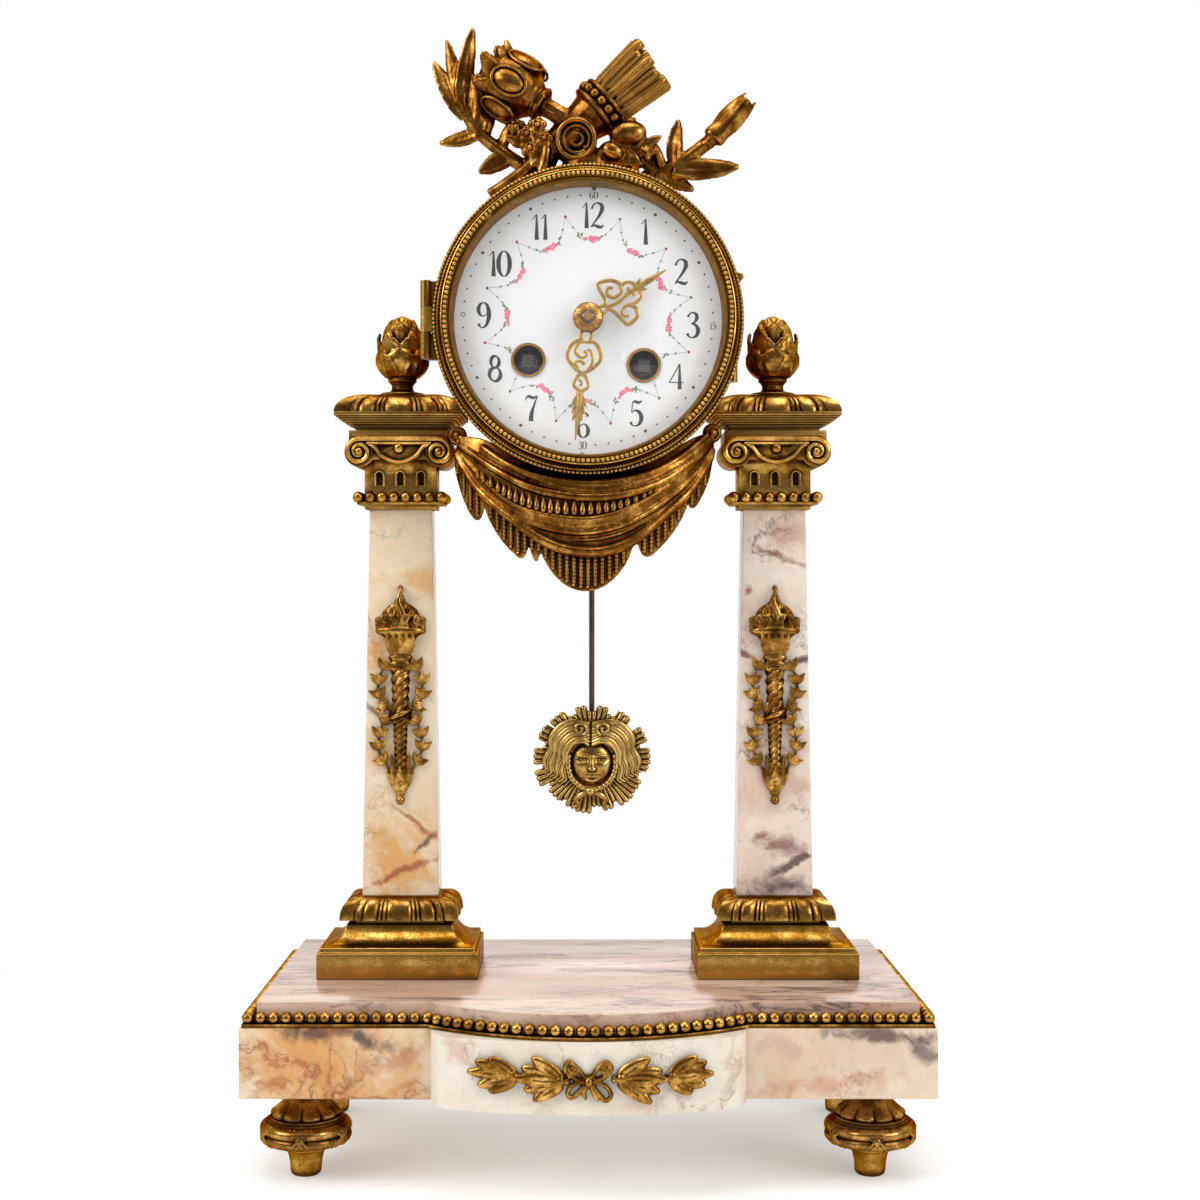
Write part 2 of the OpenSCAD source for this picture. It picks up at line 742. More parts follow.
module torch(side) {
    u = torch_h / 76;
    slope = atan((shaft_d - shaft_top_d) / 2 / shaft_h);
    rise = (shaft_h - torch_h) * 0.54;
    color(GILT) at_column(side)
        translate([0, -shaft_d / 2 + rise * tan(slope), z_shaft + rise])
            rotate([-slope, 0, 0]) difference() {
                union() {
                    ball([0, -0.6, 1.7 * u], 1.7);
                    for (k = [-1 : 1])
                        leaf([0, -0.8, 3 * u], 90 + 18 * k, (12 - abs(k)) * u, 3.6, 2.8);
                    strand([[0, -0.6, 8 * u], [0, -0.6, 30 * u], [0, -0.6, 52 * u]], [2, 2.5, 3], 1, 6);
                    for (k = [0 : 3])
                        ball([0, -1.7, (19 + k * 8) * u], 2.4, 5);
                    for (z = [51.5, 53.8])
                        strand([[-3.9, -1.15, z * u], [3.9, -1.15, z * u]], [1.4, 1.4], 1.2, 4);
                    strand([[0, -0.6, 54 * u], [0, -0.8, 58 * u], [0, -0.8, 61.5 * u]], [3, 4.2, 6], 0.7, 6);
                    strand([[-6, -1, 61.8 * u], [6, -1, 61.8 * u]], [1.1, 1.1], 1.4, 4);
                    for (k = [-1.5 : 1.5])
                        leaf([k * 2.4, -1, 61 * u], 90 - 11 * k, (16.4 - 3 * abs(k)) * u, 4.6, 3);
                    for (m = [-1, 1]) {
                        strand([for (t = [0 : 0.12 : 0.97]) [m * laurel_x(t), -0.97, laurel_z(t)]],
                               [for (t = [0 : 0.12 : 0.97]) 0.85], 1, 3);
                        for (t = [0.11, 0.225, 0.345, 0.61, 0.74, 0.88])
                            leaf([m * laurel_x(t), -0.95, laurel_z(t)],
                                 m * laurel_x(t) > 0 ? 42 : 138, 7 * u, 3, 2);
                    }
                }
                translate([-20, -seat_gap, -10]) cube([40, 20, torch_h + 20]);
            }
}

module torch_left() { torch(-1); }
module torch_right() { torch(1); }

function spiral(r0, r1, turns, a0, hand) =
    [for (k = [0 : 12 * turns]) let (f = k / (12 * turns)) polar(r0 + (r1 - r0) * f, a0 + hand * 30 * k)];

module volute_band(r0, r1, turns, a0, hand, band) {
    polygon(concat(spiral(r0, r1, turns, a0, hand), reversed(spiral(r0 - band, r1 - band * 0.6, turns, a0, hand))));
}

function reversed(v) = [for (i = [len(v) - 1 : -1 : 0]) v[i]];

module capital(side) {
    fillet = capital_h * 0.07;
    beads = capital_h * 0.165;
    frieze = capital_h * 0.3;
    scroll = capital_h - fillet - beads - frieze;
    z_beads = z_capital + fillet;
    z_frieze = z_beads + beads;
    z_scroll = z_frieze + frieze;
    frieze_w = shaft_top_w + 3.1;
    frieze_d = shaft_top_d + 3.1;
    bead_r = beads * 0.44;
    row_w = frieze_w + 4;
    row_d = frieze_d + 4;
    nw = 8;
    nd = 5;
    scroll_r = scroll * 0.41;
    scroll_x = capital_w / 2 - scroll_r;
    color(GILT) at_column(side) difference() {
        union() {
            translate([-frieze_w / 2, -frieze_d / 2, z_capital])
                cube([frieze_w, frieze_d, capital_h]);
            translate([-row_w / 2 - 0.4, -row_d / 2 - 0.4, z_beads - 0.3])
                cube([row_w + 0.8, row_d + 0.8, 0.8]);
            for (m = [-1, 1]) {
                for (k = [0 : nw - 1])
                    translate([(k - (nw - 1) / 2) * row_w / (nw - 1), m * row_d / 2, z_beads + beads / 2])
                        sphere(bead_r, $fn = 24);
                for (k = [1 : nd - 2])
                    translate([m * row_w / 2, (k - (nd - 1) / 2) * row_d / (nd - 1), z_beads + beads / 2])
                        sphere(bead_r, $fn = 24);
            }
            translate([0, -capital_d / 2, z_scroll]) plate(0, capital_d) {
                translate([-capital_w / 2 + 1.5, scroll * 0.66])
                    square([capital_w - 3, scroll * 0.34]);
                for (m = [-1, 1])
                    translate([m * scroll_x, scroll_r]) circle(scroll_r);
                translate([-scroll_x, scroll * 0.2]) square([2 * scroll_x, scroll * 0.7]);
            }
            for (m = [-1, 1])
                translate([m * scroll_x, -capital_d / 2 - 0.8, z_scroll + scroll_r]) {
                    plate(0, 1) volute_band(scroll_r, 1.8, 2, 90, m, 0.9);
                    plate(-0.3, 1.2) circle(1.7);
                }
            translate([0, -capital_d / 2 - 0.7, z_scroll + scroll * 0.84]) {
                plate(0, 0.9) translate([-capital_w / 2 + 3, -0.7])
                    square([capital_w - 6, 1.4]);
                translate([0, 0.5, -scroll * 0.33]) sphere(2.1);
            }
        }
        for (m = [-1, 1], k = [-1 : 1])
            translate([k * frieze_w * 0.29, m * frieze_d / 2, z_frieze + frieze * 0.25]) {
                translate([-1, -0.8, 0]) cube([2, 1.6, frieze * 0.45]);
                translate([0, 0, frieze * 0.45]) rotate([90, 0, 0])
                    cylinder(r = 1, h = 1.6, center = true, $fn = 32);
            }
        tie_bore(z_capital, capital_h);
    }
}

module capital_left() { capital(-1); }
module capital_right() { capital(1); }

module cornice_profile(w, run) {
    difference() {
        translate([-w / 2, 0]) square([w, cornice_h]);
        for (side = [-1, 1])
            translate([side * w / 2, cornice_h - 1 - run]) circle(run);
    }
}

module cap(side) {
    run = cornice_h * 0.66;
    color(GILT) at_column(side) difference() {
        union() {
            translate([0, 0, z_cap]) mitred(cap_w, cap_d) {
                cornice_profile(cap_w - 2, run);
                cornice_profile(cap_d - 2, run);
            }
            translate([0, 0, z_cap + cornice_h])
                gadrooned(cap_w, cap_d, cap_h - cornice_h, cap_round);
        }
        tie_bore(z_cap, cap_h);
    }
}

module cap_left() { cap(-1); }
module cap_right() { cap(1); }

module finial(side) {
    r = finial_d / 2;
    bud = finial_h - finial_neck_h;
    color(GILT) at_column(side) translate([0, 0, z_cap_top]) difference() {
        union() {
            rotate_extrude($fn = 14) polygon([
                [0, 0], [r * 0.5, 0], [r * 0.4, 1], [r * 0.36, finial_neck_h * 0.6],
                [r * 0.5, finial_neck_h * 0.8], [r * 0.5, finial_neck_h], [r * 0.72, finial_neck_h + bud * 0.1],
                [r * 0.92, finial_neck_h + bud * 0.3], [r * 0.9, finial_neck_h + bud * 0.5],
                [r * 0.7, finial_neck_h + bud * 0.72], [r * 0.36, finial_neck_h + bud * 0.9],
                [0, finial_h]
            ]);
            for (row = [0 : 3], k = [0 : 6])
                rotate([0, 0, (k + 0.5 * (row % 2)) * 360 / 7])
                    translate([r * (0.62 + 0.24 * sin(60 * row) - 0.07 * row), 0, finial_neck_h + bud * (0.08 + 0.17 * row)])
                        rotate([0, 12 - 22 * row, 0]) hull() {
                            ball([0, 0, 0], r * 0.2, 4);
                            translate([r * 0.06, 0, bud * 0.14])
                                scale([r * 0.14, r * 0.36, r * 0.3]) sphere(1, $fn = 6);
                            ball([r * 0.14, 0, bud * 0.31], r * 0.05, 4);
                        }
        }
        translate([0, 0, -1])
            cylinder(r = tie_bore_r + 0.1, h = finial_neck_h + finial_h * 0.22 + 1, $fn = 24);
    }
}

module finial_left() { finial(-1); }
module finial_right() { finial(1); }

// Drum, doors, drapery and trophy

// Knuckles of one hinge on a vertical axis: the two ends, or the one between them
module knuckles(p, ends) {
    for (k = ends ? [-1, 1] : [0])
        translate([p[0], p[1], k * knuckle_len - knuckle_len / 2 + (k == 0 ? pass_gap / 2 : 0)])
            difference() {
                children(0);
                translate([0, 0, -1])
                    cylinder(d = hinge_pin_d + (ends ? 0 : 2 * run_fit), h = knuckle_len + 2, $fn = 32);
            }
}

module knuckle(leaf_from, leaf_to, len) {
    cylinder(r = knuckle_r, h = len, $fn = 32);
    translate([leaf_from[0], leaf_from[1], 0])
        cube([leaf_to[0] - leaf_from[0], leaf_to[1] - leaf_from[1], len]);
}

module drum_case() {
    leaf_x = hinge_x - drum_inner_r;
    leaf_y = 4;
    color(GILT) at_dial(0) {
        difference() {
            union() {
                rod([0, 0], drum_y0, drum_y1, drum_r);
                knuckles([-hinge_x, hinge_y], true)
                    knuckle([0, drum_y0 - hinge_y], [leaf_x, drum_y0 - hinge_y + leaf_y], knuckle_len);
                knuckles([hinge_x, back_hinge_y], true)
                    knuckle([-leaf_x, drum_y1 - back_hinge_y - leaf_y], [0, drum_y1 - back_hinge_y], knuckle_len);
            }
            rod([0, 0], drum_y0 - 1, drum_y1 + 1, drum_inner_r);
            translate([pivot_x - 12, pendulum_y - 4, -drum_r - 2])
                cube([24, 8, drum_r - bell_r]);
        }
        turned() {
            translate([drum_inner_r - 4, lip_y]) square([5, lip_t]);
            translate([drum_inner_r - 3, drum_y1 - 1.5]) square([4, 1.5]);
        }
    }
}

module hinge_pins() {
    color(STEEL) at_dial(0) for (p = [[-hinge_x, hinge_y], [hinge_x, back_hinge_y]])
        translate([p[0], p[1], -hinge_len / 2])
            cylinder(d = hinge_pin_d, h = hinge_len, $fn = 32);
}

// The bezel rises from an outer bead line over a hollow band to the inner one, and a sloping ring
// behind the glass holds it in
module bezel() {
    w = bezel_r - sight_r;
    d = bezel_depth;
    glass_front = glass_y - glass_edge_t;
    color(GILT) at_dial(0) {
        turned() {
            difference() {
                polygon([
                    [glass_bore_r, bezel_y1], [bezel_r - 0.3, bezel_y1], [bezel_r - 0.3, bezel_y1 - d * 0.3],
                    [bezel_r - w * 0.27, bezel_y1 - d * 0.42], [bezel_r - w * 0.55, bezel_y0 + d * 0.12],
                    [bezel_r - w * 0.62, bezel_y0 + d * 0.08], [sight_r + w * 0.17, bezel_y0 + d * 0.08],
                    [sight_r, glass_front - 0.8], [sight_r, glass_front], [glass_bore_r, glass_front]
                ]);
                translate([bezel_r - w * 0.06, bezel_y0 + d * 0.25]) circle(w * 0.47);
            }
            translate([bezel_r - 0.8, bezel_y1 - d * 0.3]) circle(0.8, $fn = 32);
            translate([sight_r + w * 0.28, bezel_y0 + 0.8]) circle(0.8, $fn = 32);
        }
        turned() polygon([
            [glass_edge_r, glass_y], [sight_r, glass_y], [sight_ring_r, bezel_y1], [glass_edge_r, bezel_y1]
        ]);
        knuckles([-hinge_x, hinge_y], false)
            knuckle([0, -2], [hinge_x - bezel_r + 2, 0], knuckle_len - pass_gap);
        rotate([0, -16, 0]) translate([bezel_r - 1, bezel_y1 - 1.6, 0]) rotate([-90, 0, 0])
            linear_extrude(1.6) polygon([[0, -2.6], [3, -0.6], [3, 0.6], [0, 2.6]]);
    }
}

module glass() {
    color([0.85, 0.9, 0.92, 0.35]) at_dial(0) turned() {
        intersection() {
            translate([0, glass_y - glass_edge_t - glass_rise + glass_r])
                ring(glass_r, glass_t, $fn = 360);
            translate([0, glass_y - glass_edge_t - glass_rise - 1])
                square([glass_chord_r, glass_rise + 1.2]);
        }
        translate([glass_chord_r - 1.6, glass_y - glass_edge_t])
            square([glass_edge_r - glass_chord_r + 1.6, glass_edge_t]);
    }
}

module back_door() {
    color(BRASS) at_dial(0) {
        turned() polygon([
            [0, door_y0], [drum_r, door_y0], [drum_r, door_y0 + 1], [drum_r - 3, door_y0 + door_t + 0.6],
            [drum_r - 5, door_y0 + door_t], [0, door_y0 + door_t]
        ]);
        knuckles([hinge_x, back_hinge_y], false)
            knuckle([drum_r - hinge_x - 1.5, 0], [0, 1.2], knuckle_len - pass_gap);
        rod([-drum_r + 9, 0], door_y0 + door_t - 0.5, door_y0 + door_t + 3, 2);
    }
}

// The drapery's edge and folds hang as curves between the capitals
drapery_x = column_x - capital_w / 2 - seat_gap;
drapery_top = -37.5;
drapery_turn_y = column_y - dial_y - 4;
function hang(f, drop, bulge) =
    [f * drapery_x, drapery_turn_y - (drapery_turn_y + bulge) * (1 - pow(abs(f), 2.4)),
     drapery_top - (drop + drapery_top) * (1 - pow(abs(f), 1.7))];
fold_drops = [56, 61, 66, 71, 76];
fringe_n = 12;
function fringe_len(f) = drapery_drop - 78 - 2.2 * abs(sin(f * 540));

module drapery() {
    color(DARK_GILT) at_dial(0) difference() {
        union() {
            for (i = [0 : len(fold_drops) - 1])
                strand([for (f = [-1 : 0.2 : 1]) hang(f, fold_drops[i], 1.5 + i * 0.5)],
                       [for (f = [-1 : 0.2 : 1]) 2.2 + 2 * (1 - f * f)], 1, 6);
            for (k = [-fringe_n : fringe_n])
                let (f = k / fringe_n * 0.96, top = hang(f, 77, 1), low = top - [0, 0, fringe_len(f)])
                    hull() {
                        ball(top, 1.7, 4);
                        ball(low, 1.4, 4);
                    }
            strand([for (f = [-1 : 0.2 : 1]) hang(f, 78, 2.4)], [for (f = [-1 : 0.2 : 1]) 1.6], 1, 4);
            for (side = [-1, 1]) {
                ball([side * (drapery_x - 4), drapery_turn_y - 9, drapery_top], 4.2, 10);
                strand([[side * (drapery_x - 7), drapery_turn_y, drapery_top - 8],
                        [side * (drapery_x + 1), drapery_turn_y, drapery_top - 2]], [5, 5], 1, 8);
            }
            strand([for (f = [-0.75 : 0.25 : 0.75]) hang(f, 55, -9)],
                   [for (f = [-0.75 : 0.25 : 0.75]) 5], 1.4, 6);
        }
        rotate([-90, 0, 0]) translate([0, 0, -drum_depth])
            seat_cutter(drum_r, 2 * drum_depth, 48);
        rotate([-90, 0, 0]) translate([0, 0, bezel_y0 - 20])
            seat_cutter(bezel_r + pass_gap, bezel_depth + 20 + pass_gap, 48);
        for (side = [-1, 1], edge = [[drapery_x, -100], [cap_inner_x - seat_gap, z_cap - z_dial - seat_gap]])
            translate([side * (edge[0] + 10) - 10, -100, edge[1]]) cube([20, 200, 100]);
    }
}

crest_y = column_y - dial_y - 6;

// Points of the trophy are given from the dial centre at its full height
function crest_p(x, z) = [x, crest_y, drum_r + (z - 51) * crest_h / 54.6];

module crest_leaf(x, z, angle, length, width) {
    leaf(crest_p(x, z), angle, length, width, 3.4, 5);
}

module crest() {
    color(GILT) at_dial(0) difference() {
        union() {
            strand([for (a = [-38 : 7.6 : 38]) [drum_r * sin(a), crest_y, (drum_r + 0.6) * cos(a)]],
                   [for (a = [-38 : 7.6 : 38]) 3.4], 2.4, 6);
            // Left branch
            strand([crest_p(-20, 55), crest_p(-28, 62), crest_p(-35, 72), crest_p(-41, 86), crest_p(-43, 96)],
                   [1.8, 1.7, 1.5, 1.2, 0.8]);
            for (l = [[-41, 88, 92, 16.6, 6], [-40, 84, 116, 15, 6], [-38, 80, 146, 16, 6],
                      [-36, 74, 186, 15, 6], [-30, 66, 198, 18, 6.4], [-24, 60, 206, 14, 6],
                      [-34, 72, 64, 12, 5]])
                crest_leaf(l[0], l[1], l[2], l[3], l[4]);
            // Torch head with its flames
            strand([crest_p(2, 60), crest_p(-6, 67), crest_p(-14, 74), crest_p(-20, 79)], [3, 3.4, 4, 5], 1, 6);
            ball(crest_p(-26.5, 84), 9.4, 10);
            for (l = [[-30, 90, 112, 12, 7], [-25, 90, 86, 10, 7], [-33, 86, 142, 9, 6], [-21, 88, 62, 9, 6]])
                crest_leaf(l[0], l[1], l[2], l[3], l[4]);
            // Quiver with its arrows
            strand([crest_p(-12, 52), crest_p(-4, 63), crest_p(4.8, 75.5)], [4.5, 6.4, 9], 0.8, 8);
            strand([crest_p(3.4, 73.6), crest_p(6.4, 77.6)], [11, 11], 0.8, 8);
            for (k = [-2 : 2])
                strand([crest_p(5 + 3 * k, 76 - 2 * k), crest_p(14 + 4 * k, 86 - 3 * k), crest_p(20 + 4.6 * k, 91 - 4.2 * k)],
                       [1.4, 2.2, 2.6], 1, 4);
            // Rose, bud and small flowers
            ball(crest_p(-5.2, 65) - [0, 4, 0], 6.8, 10);
            for (k = [0 : 4])
                ball(crest_p(-5.2 + 4.4 * cos(72 * k), 65 + 4.4 * sin(72 * k)) - [0, 7, 0], 2.8, 5);
            ball(crest_p(13, 66) - [0, 5, 0], 4.6, 8);
            for (p = [[-18, 68], [-14, 63], [-22, 64], [2, 57], [17, 51]])
                ball(crest_p(p[0], p[1]) - [0, 2, 0], 4, 5);
            // Right branch
            strand([crest_p(26, 54), crest_p(36, 58), crest_p(43, 66), crest_p(50.4, 80.4)], [2, 1.8, 1.6, 1.2]);
            for (l = [[49, 77, 32, 8, 5], [44, 68, 96, 14, 6], [40, 62, 138, 14, 6], [38, 58, -22, 16, 6],
                      [26, 54, 62, 17, 6.6], [44, 66, 20, 9, 5], [20, 52, 8, 17, 6], [-18, 52, 176, 17, 6]])
                crest_leaf(l[0], l[1], l[2], l[3], l[4]);
        }
        rotate([-90, 0, 0]) translate([0, 0, -drum_depth])
            seat_cutter(drum_r, 3 * drum_depth, 48);
    }
}

// Dial and hands

module dial() {
    color(ENAMEL) at_dial() plate(0, dial_t) difference() {
        circle(dial_r);
        circle(hour_pipe_r + 0.8);
        for (p = [at_going, at_strike])
            translate(p) circle(bush_r + eps);
    }
}

module dial_pan() {
    color(BRASS) at_dial() {
        plate(pan_y, pan_t) difference() {
            circle(pan_r);
            circle(hour_pipe_r + 0.8);
            for (p = [at_going, at_strike])
                translate(p) circle(winding_bore_d / 2);
        }
        for (p = [at_going, at_strike])
            spot(p) plate(-0.5, pan_y + 1) ring(bush_r, bush_wall);
        for (p = pan_foot_places)
            rod(p, pan_y, front_y, 1.8);
    }
}

// A hand plate in the dial plane, from its hub upward
module hand(angle, y, pipe_r) {
    at_dial(angle) plate(y, hand_t) difference() {
        union() {
            circle(pipe_r + 1.5);
            children();
        }
        circle(pipe_r);
    }
}

module loop(x, z, r, wall = 0.9) {
    translate([x, z]) ring(r, wall);
}

module bar(x, z0, z1, w) {
    translate([x - w / 2, z0]) square([w, z1 - z0]);
}

module hour_hand() {
    u = hour_len / 30.5;
    color(BRASS) hand(hour_angle, hour_hand_y, hour_pipe_r) {
        for (side = [-1, 1]) {
            bar(side * 1.2, 3.4 * u, 8 * u, 0.9);
            loop(side * 2, 9.4 * u, 2.2);
            loop(side * 4.4, 12.4 * u, 2.5);
            loop(side * 1.8, 15 * u, 2);
        }
        loop(0, 17.8 * u, 2.2);
        polygon([[-1.1, 19 * u], [1.1, 19 * u], [1.9, 21.6 * u], [0.9, 23.4 * u], [0.25, hour_len],
                 [-0.25, hour_len], [-0.9, 23.4 * u], [-1.9, 21.6 * u]]);
    }
}

module minute_hand() {
    u = minute_len / 40.7;
    color(BRASS) hand(minute_angle, minute_hand_y, cannon_r) {
        for (side = [-1, 1]) {
            bar(side * 1.1, 2.6 * u, 8.2 * u, 0.9);
            loop(side * 2.5, 10.2 * u, 2.7);
            loop(side * 2.9, 13.6 * u, 2.8);
            loop(side * 1.5, 17 * u, 1.7);
        }
        loop(0, 20.6 * u, 3);
        loop(0, 24.6 * u, 1.9);
        polygon([[-0.8, 25.6 * u], [0.8, 25.6 * u], [2.4, 28.4 * u], [1, 29.6 * u], [1.7, 31.6 * u], [0.6, 33 * u],
                 [0.25, minute_len], [-0.25, minute_len], [-0.6, 33 * u], [-1.7, 31.6 * u], [-1, 29.6 * u],
                 [-2.4, 28.4 * u]]);
    }
}

module hand_collet() {
    y = minute_hand_y;
    color(BRASS) at_dial(minute_angle) turned() polygon([
        [centre_arbor_r, y], [5, y], [5, y - 0.5], [4.4, y - 1.2], [3, y - 1.8], [centre_arbor_r, y - 2]
    ]);
}

// Movement

module plate_holes(centre_hole_r) {
    for (p = [at_second, at_pin, at_third, at_escape, at_pallet, at_fly])
        translate(p) circle(pivot_r + run_fit, $fn = 32);
    circle(centre_hole_r, $fn = 48);
    for (p = [at_going, at_strike])
        translate(p) circle(barrel_arbor_r + run_fit, $fn = 48);
}

module front_plate() {
    color(BRASS) at_dial() {
        plate(front_y, plate_t) difference() {
            circle(plate_r);
            plate_holes(centre_arbor_r + run_fit);
        }
        rod(at_minute, hour_wheel_y - 0.4, front_y + eps, 1);
    }
}

module back_plate() {
    color(BRASS) at_dial() plate(back_y, plate_t) difference() {
        circle(plate_r);
        plate_holes(pivot_r + run_fit);
        translate(at_pallet) circle(arbor_r + run_fit, $fn = 32);
        translate(at_hammer) circle(pivot_r + run_fit, $fn = 32);
    }
}

module plate_pillars() {
    color(BRASS) at_dial() for (p = pillar_places) spot(p) turned() polygon([
        [0, gap_y], [pillar_r, gap_y], [pillar_r, gap_y + 3], [pillar_r * 0.7, gap_y + 5],
        [pillar_r * 0.7, back_y - 5], [pillar_r, back_y - 3], [pillar_r, back_y], [0, back_y]
    ]);
}

// A closed drum turns on its arbor, with the great wheel at one end and the mainspring coiled inside
module barrel(p, q) {
    wall = 1.2;
    outer_r = barrel_mod * barrel_n / 2 - 1.4;
    color(BRASS) at_dial() spot(p) {
        difference() {
            union() {
                rod([0, 0], barrel_y, barrel_y + barrel_len, outer_r);
                wheel(barrel_n, barrel_mod, great_y, bearing(p, q), great_t);
            }
            rod([0, 0], barrel_y - 1, barrel_y + barrel_len + 1, barrel_arbor_r + run_fit);
            rod([0, 0], barrel_y + wall, barrel_y + barrel_len - wall, outer_r - wall);
        }
        plate(barrel_y + wall + pass_gap, barrel_len - 2 * (wall + pass_gap))
            volute_band(outer_r - wall - end_play, barrel_arbor_r + 1.2, 6, 0, 1, 0.5);
    }
}

module going_barrel() { barrel(at_going, at_second); }
module strike_barrel() { barrel(at_strike, at_pin); }

ratchet_r = 6.4;
ratchet_n = 24;
ratchet_y = front_y - 1.6;

module winding_arbor(p) {
    color(STEEL) at_dial() spot(p) {
        rod([0, 0], ratchet_y, back_y + plate_t * 0.9, barrel_arbor_r);
        translate([-winding_square / 2, 1, -winding_square / 2])
            cube([winding_square, ratchet_y - 1 + eps, winding_square]);
        plate(ratchet_y, 1.3) polygon([
            for (k = [0 : ratchet_n - 1], c = [[ratchet_r, 0], [ratchet_r - 1, 0.02]])
                polar(c[0], (k + c[1]) * 360 / ratchet_n)
        ]);
    }
}

module going_arbor() { winding_arbor(at_going); }
module strike_arbor() { winding_arbor(at_strike); }

module clicks() {
    pin = polar(ratchet_r + 3, -60);
    tip = polar(ratchet_r + pass_gap + 0.6, -22);
    color(STEEL) at_dial() for (side = [-1, 1]) spot([side * winding_x, -winding_drop]) {
        rod([side * pin[0], pin[1]], ratchet_y - 0.4, front_y, 1);
        plate(ratchet_y, 1.3) hull() {
            translate([side * pin[0], pin[1]]) circle(1.6, $fn = 24);
            translate([side * tip[0], tip[1]]) circle(0.5, $fn = 16);
        }
    }
}

module intermediate_wheel() {
    color(BRASS) at_dial() spot(at_second) {
        arbor(1);
        pinion(second_pinion_n, barrel_mod, great_y - 0.6, great_t + 1.4, bearing(at_going, at_second));
        wheel(second_n, second_mod, second_y, bearing(at_second, at_centre));
    }
}

module centre_arbor() {
    color(BRASS) at_dial() {
        rod([0, 0], arbor_front_y, back_y - end_play, centre_arbor_r);
        rod([0, 0], gap_y, back_y + plate_t * 0.8, pivot_r);
        pinion(centre_pinion_n, second_mod, second_y - 0.6, wheel_t + 1.2, bearing(at_second, at_centre));
        wheel(centre_n, centre_mod, centre_wheel_y, bearing(at_centre, at_third));
    }
}

module third_wheel() {
    color(BRASS) at_dial() spot(at_third) {
        arbor();
        pinion(third_pinion_n, centre_mod, centre_wheel_y - 0.5, wheel_t + 1, bearing(at_centre, at_third));
        wheel(third_n, third_mod, third_wheel_y, bearing(at_third, at_escape));
    }
}

module escape_wheel() {
    color(BRASS) at_dial() spot(at_escape) {
        arbor();
        pinion(escape_pinion_n, third_mod, third_wheel_y - 0.5, wheel_t + 1, bearing(at_third, at_escape));
        plate(escape_y, wheel_t) polygon([
            for (k = [0 : escape_n - 1], c = [[escape_r, 0], [escape_r, 0.1], [escape_r - 1.5, 0.35], [escape_r - 1.5, 0.8]])
                polar(c[0], (k + c[1]) * 360 / escape_n)
        ]);
    }
}

// The anchor straddles the wheel, and its crutch falls plumb behind the back plate to the rod
module pallets() {
    span = 42;
    foot_r = escape_r + 1.8;
    crutch_y = rear_y + 1.6;
    crutch_len = 34;
    color(STEEL) {
        at_dial() spot(at_pallet) {
            rod([0, 0], gap_y - plate_t * 0.8, gap_y + 1, pivot_r);
            rod([0, 0], gap_y + end_play, crutch_y + 0.6, arbor_r);
            plate(escape_y, wheel_t) for (side = [-1, 1]) hull() {
                circle(1.4, $fn = 32);
                translate([0, -pallet_rise] + polar(foot_r, 90 + side * span))
                    circle(0.8, $fn = 24);
            }
        }
        translate([pivot_x, dial_y, pivot_z]) {
            translate([-1.2, crutch_y, -crutch_len]) cube([2.4, 1.2, crutch_len + 1.5]);
            for (side = [-1, 1])
                translate([side * (rod_r + pass_gap + 0.5) - 0.5, crutch_y, -crutch_len])
                    cube([1, pendulum_y + rod_r + 0.6 - crutch_y, 2]);
            translate([-rod_r - pass_gap - 1, crutch_y, -crutch_len])
                cube([2 * (rod_r + pass_gap + 1), 1.2, 2]);
        }
    }
}

module pin_wheel() {
    color(BRASS) at_dial() spot(at_pin) {
        arbor();
        pinion(second_pinion_n, barrel_mod, great_y - 0.6, great_t + 1.4, bearing(at_strike, at_pin));
        wheel(pin_wheel_n, second_mod, second_y, bearing(at_pin, at_fly));
        for (k = [0 : 9])
            rod(polar(second_mod * pin_wheel_n * 0.42, 36 * k), second_y + wheel_t - eps, second_y + wheel_t + 1.6, 0.5);
    }
}

module fly() {
    color(BRASS) at_dial() spot(at_fly) {
        arbor();
        pinion(fly_pinion_n, second_mod, second_y - 0.5, wheel_t + 1, bearing(at_pin, at_fly));
        translate([-6, gap_y + 4, -0.5]) cube([12, 10, 1]);
    }
}

module cannon_pinion() {
    color(STEEL) at_dial() difference() {
        union() {
            rod([0, 0], minute_hand_y, front_y - pass_gap, cannon_r);
            pinion(cannon_n, cannon_mod, motion_y - 0.3, wheel_t + 0.6, 30);
        }
        rod([0, 0], minute_hand_y - 1, front_y + 1, centre_arbor_r);
    }
}

module minute_wheel() {
    color(BRASS) at_dial() spot(at_minute) difference() {
        union() {
            wheel(minute_n, cannon_mod, motion_y, 210);
            pinion(minute_pinion_n, hour_mod, hour_wheel_y - 0.2, motion_y - hour_wheel_y + 0.4, 30);
        }
        rod([0, 0], hour_wheel_y - 2, motion_y + 3, 1 + run_fit);
    }
}

module hour_wheel() {
    color(BRASS) at_dial() difference() {
        union() {
            wheel(hour_n, hour_mod, hour_wheel_y, 30);
            rod([0, 0], hour_hand_y - 0.4, hour_wheel_y + 1, hour_pipe_r);
        }
        rod([0, 0], hour_hand_y - 2, hour_wheel_y + 3, cannon_r + run_fit);
    }
}

// Pendulum and strike

module suspension_cock() {
    color(BRASS) translate([pivot_x, dial_y, pivot_z]) difference() {
        translate([-5, rear_y, 0.4]) cube([10, pendulum_y + 3 - rear_y, 5]);
        translate([-0.15 - pass_gap, pendulum_y - 2.2, -1])
            cube([0.3 + 2 * pass_gap, 4.4, 4]);
        translate([-1.6, rear_y - 1, -1]) cube([3.2, 4, 4]);
    }
}

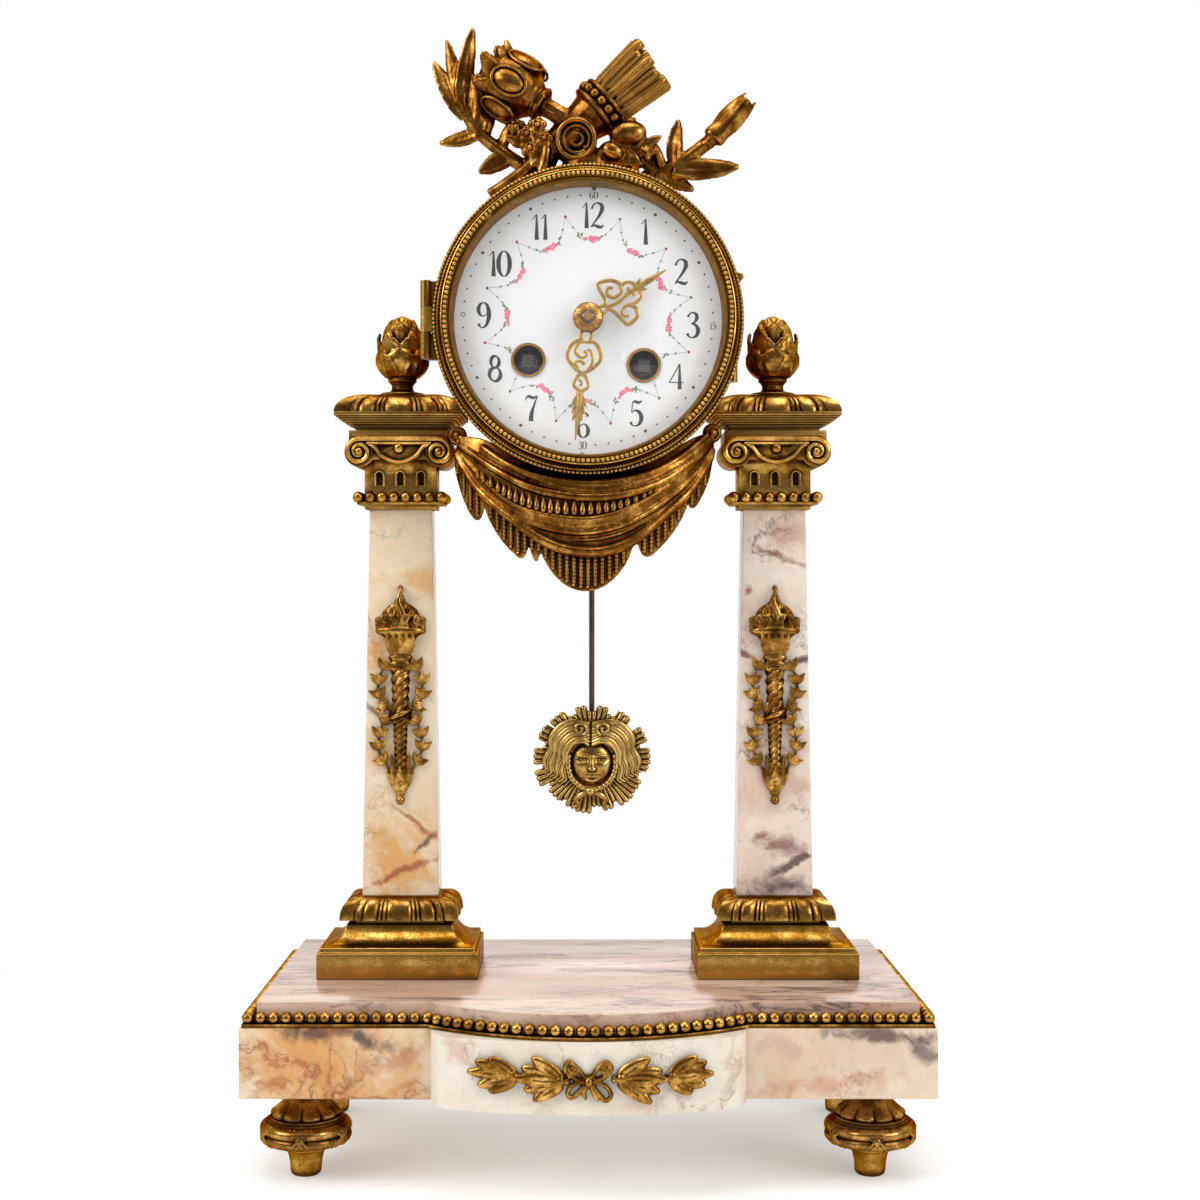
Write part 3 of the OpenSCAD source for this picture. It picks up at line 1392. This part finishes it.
module suspension_spring() {
    color(STEEL) translate([pivot_x, dial_y + pendulum_y, pivot_z]) {
        translate([-0.15, -1.8, -7]) cube([0.3, 3.6, 9]);
        translate([-1, -2.2, -8]) cube([2, 4.4, 2.4]);
    }
}

module pendulum_rod() {
    color(STEEL)
        translate([pivot_x, dial_y + pendulum_y, pivot_z - pendulum_len - bob_d * 0.2])
            cylinder(r = rod_r, h = pendulum_len + bob_d * 0.2 - 8);
}

module pendulum_bob() {
    r = bob_d / 2;
    face_y = -rod_r - 2.4;
    color(GILT) translate([pivot_x, dial_y + pendulum_y, pivot_z - pendulum_len])
        difference() {
            union() {
                for (k = [0 : 26])
                    let (a = k * 360 / 27 + 2, long = k % 3 == 0 ? 1 : 0.88)
                        hull() {
                            ball([r * 0.46 * cos(a), face_y, r * 0.46 * sin(a)], 1.5, 4);
                            ball([r * 0.97 * long * cos(a), face_y + 0.4, r * 0.97 * long * sin(a)], 0.5, 4);
                        }
                translate([0, face_y, 0]) rotate([90, 0, 0])
                    cylinder(r1 = r * 0.58, r2 = r * 0.5, h = 2.4, center = true, $fn = 20);
                translate([0, face_y - 1.6, r * 0.03]) scale([r * 0.3, r * 0.26, r * 0.4])
                    sphere(1, $fn = 12);
                for (a = [-30 : 24 : 210])
                    ball([r * 0.35 * cos(a), face_y - 1.9, r * 0.05 + r * 0.42 * sin(a)], r * 0.13);
                ball([0, face_y - 1.4, -r * 0.52], r * 0.13);
                translate([-2.4, face_y, -r * 0.55])
                    cube([4.8, rod_r + 2.4 + rod_r + 1, r * 1.1]);
            }
            translate([0, 0, -bob_d]) cylinder(r = rod_r + 0.06, h = 2 * bob_d, $fn = 20);
        }
}

module bell() {
    depth = bell_y1 - bell_y0;
    dome_r = (bell_r * bell_r + depth * depth) / (2 * depth);
    color(BRASS) at_dial() spot(at_bell) turned() intersection() {
        translate([0, bell_y1 - dome_r]) ring(dome_r, bell_wall);
        translate([1.6, bell_y0]) square([bell_r, depth + 1]);
    }
}

module bell_stand() {
    arm_y = bell_y1 + 0.02;
    color(STEEL) at_dial() {
        rod(at_bell_post, rear_y, arm_y + 1.4, 1.8);
        plate(arm_y, 1.4) hull() {
            translate(at_bell_post) circle(2.4, $fn = 32);
            translate(at_bell) circle(3, $fn = 32);
        }
        rod(at_bell, bell_y1 - bell_wall - 1, arm_y + 0.5, 1.5);
    }
}

// The hammer turns on a pivot in the back plate and rests just clear of the bell
module hammer() {
    head_y = bell_y0 + 2;
    head = [at_bell[0] - bell_r - pass_gap - hammer_head_r, at_bell[1]];
    color(STEEL) at_dial() {
        rod(at_hammer, back_y + plate_t * 0.2, rear_y + 1, pivot_r);
        rod(at_hammer, rear_y + end_play, head_y + 1.2, 1.1);
        plate(head_y - 1.2, 1.4) hull() {
            translate(at_hammer) circle(1.6, $fn = 32);
            translate(head) circle(0.9, $fn = 32);
        }
        rod(head, head_y - 2.6, head_y + 2.6, hammer_head_r);
    }
}

base_block();
base_top();
base_beading();
base_ribbon_mount();
foot_front_left();
foot_front_right();
foot_rear_left();
foot_rear_right();
tie_rods();
plinth_left();
plinth_right();
cushion_left();
cushion_right();
shaft_left();
shaft_right();
torch_left();
torch_right();
capital_left();
capital_right();
cap_left();
cap_right();
finial_left();
finial_right();
drum_case();
drapery();
crest();
bezel();
glass();
hinge_pins();
back_door();
dial();
dial_pan();
front_plate();
back_plate();
plate_pillars();
going_barrel();
strike_barrel();
going_arbor();
strike_arbor();
clicks();
intermediate_wheel();
centre_arbor();
third_wheel();
escape_wheel();
pallets();
pin_wheel();
fly();
cannon_pinion();
minute_wheel();
hour_wheel();
hour_hand();
minute_hand();
hand_collet();
suspension_cock();
suspension_spring();
pendulum_rod();
pendulum_bob();
bell();
bell_stand();
hammer();
